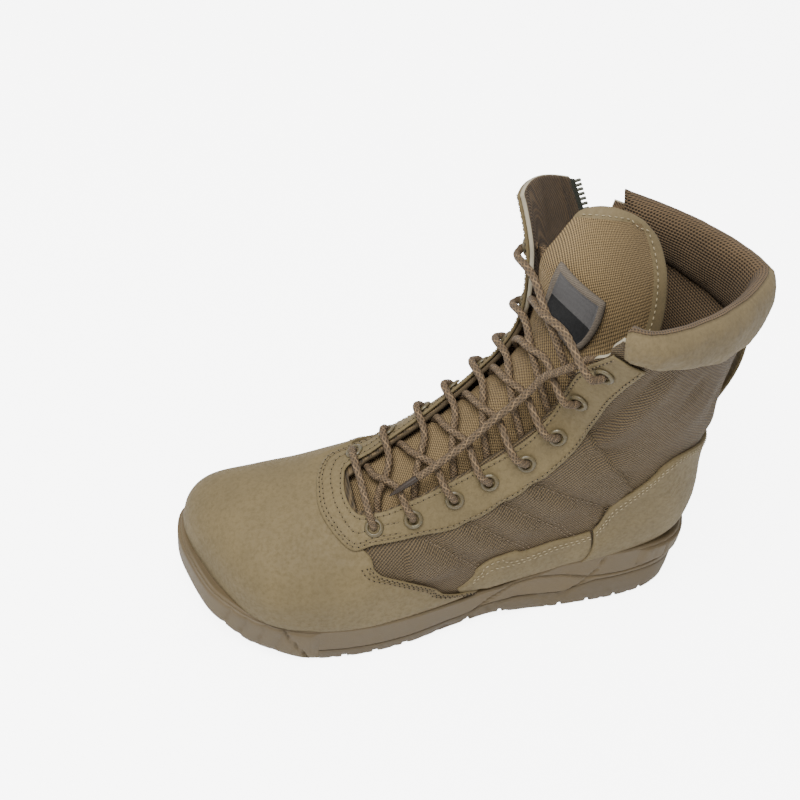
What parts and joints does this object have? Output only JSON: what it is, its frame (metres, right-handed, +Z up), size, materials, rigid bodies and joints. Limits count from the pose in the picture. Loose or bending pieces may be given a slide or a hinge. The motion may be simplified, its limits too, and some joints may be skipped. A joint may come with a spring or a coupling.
{
  "type": "combat boot",
  "caption": "Lace-up combat boot with leather toe, heel and eyestays, fabric shaft, padded collar and tongue, side zip and a moulded lugged sole.",
  "frame": {"origin": "centre of the boot's overall box, on the ground under the sole", "axes": "+X towards the heel, +Y towards the inner side, +Z up"},
  "size_m": [0.3165, 0.1439, 0.2494],
  "materials": {
    "leather": "matt nubuck leather, sand",
    "nylon": "woven nylon, brown sand",
    "lining": "brown mesh lining",
    "rubber": "matt moulded rubber, sand",
    "lace": "round braided cord",
    "metal": "painted brass",
    "zip": "woven zip tape",
    "dark": "black woven patch and moulded lace tip"
  },
  "bodies": {
    "boot": {"collar": "leather", "eyelet_inner_1": "metal", "eyelet_inner_2": "metal", "eyelet_inner_3": "metal", "eyelet_inner_4": "metal", "eyelet_inner_5": "metal", "eyelet_inner_6": "metal", "eyelet_inner_7": "metal", "eyelet_inner_8": "metal", "eyelet_outer_1": "metal", "eyelet_outer_2": "metal", "eyelet_outer_3": "metal", "eyelet_outer_4": "metal", "eyelet_outer_5": "metal", "eyelet_outer_6": "metal", "eyelet_outer_7": "metal", "eyelet_outer_8": "metal", "eyestay": "leather", "heel_bumper": "rubber", "heel_counter": "leather", "insole": "lining", "lace_bar": "lace", "lace_cross_1": "lace", "lace_cross_2": "lace", "lace_cross_3": "lace", "lace_cross_4": "lace", "lace_cross_5": "lace", "lace_cross_6": "lace", "lace_cross_7": "lace", "lace_end_inner": "lace", "lace_end_outer": "lace", "lace_tip": "dark", "midsole": "rubber", "outsole": "rubber", "pull_loop": "nylon", "rand_inner": "leather", "rand_outer": "leather", "strap": "leather", "toe_bumper": "rubber", "tongue": "nylon", "tongue_patch": "dark", "upper": "nylon", "vamp": "leather", "vent_eyelet_1": "metal", "vent_eyelet_2": "metal", "zip_side_back": "zip", "zip_side_front": "zip", "zip_slider": "metal", "zip_tape": "zip", "zip_teeth": "metal"},
    "pull_tab": {"zip_pull": "metal"}
  },
  "joints": [
    {"name": "pull_tab_swing", "type": "hinge", "parent": "boot", "child": "pull_tab", "pos_m": [0.0785, 0.0663, 0.19638], "axis": [0.9814, -0.0236, 0.1905], "range_deg": [0, 140]}
  ]
}
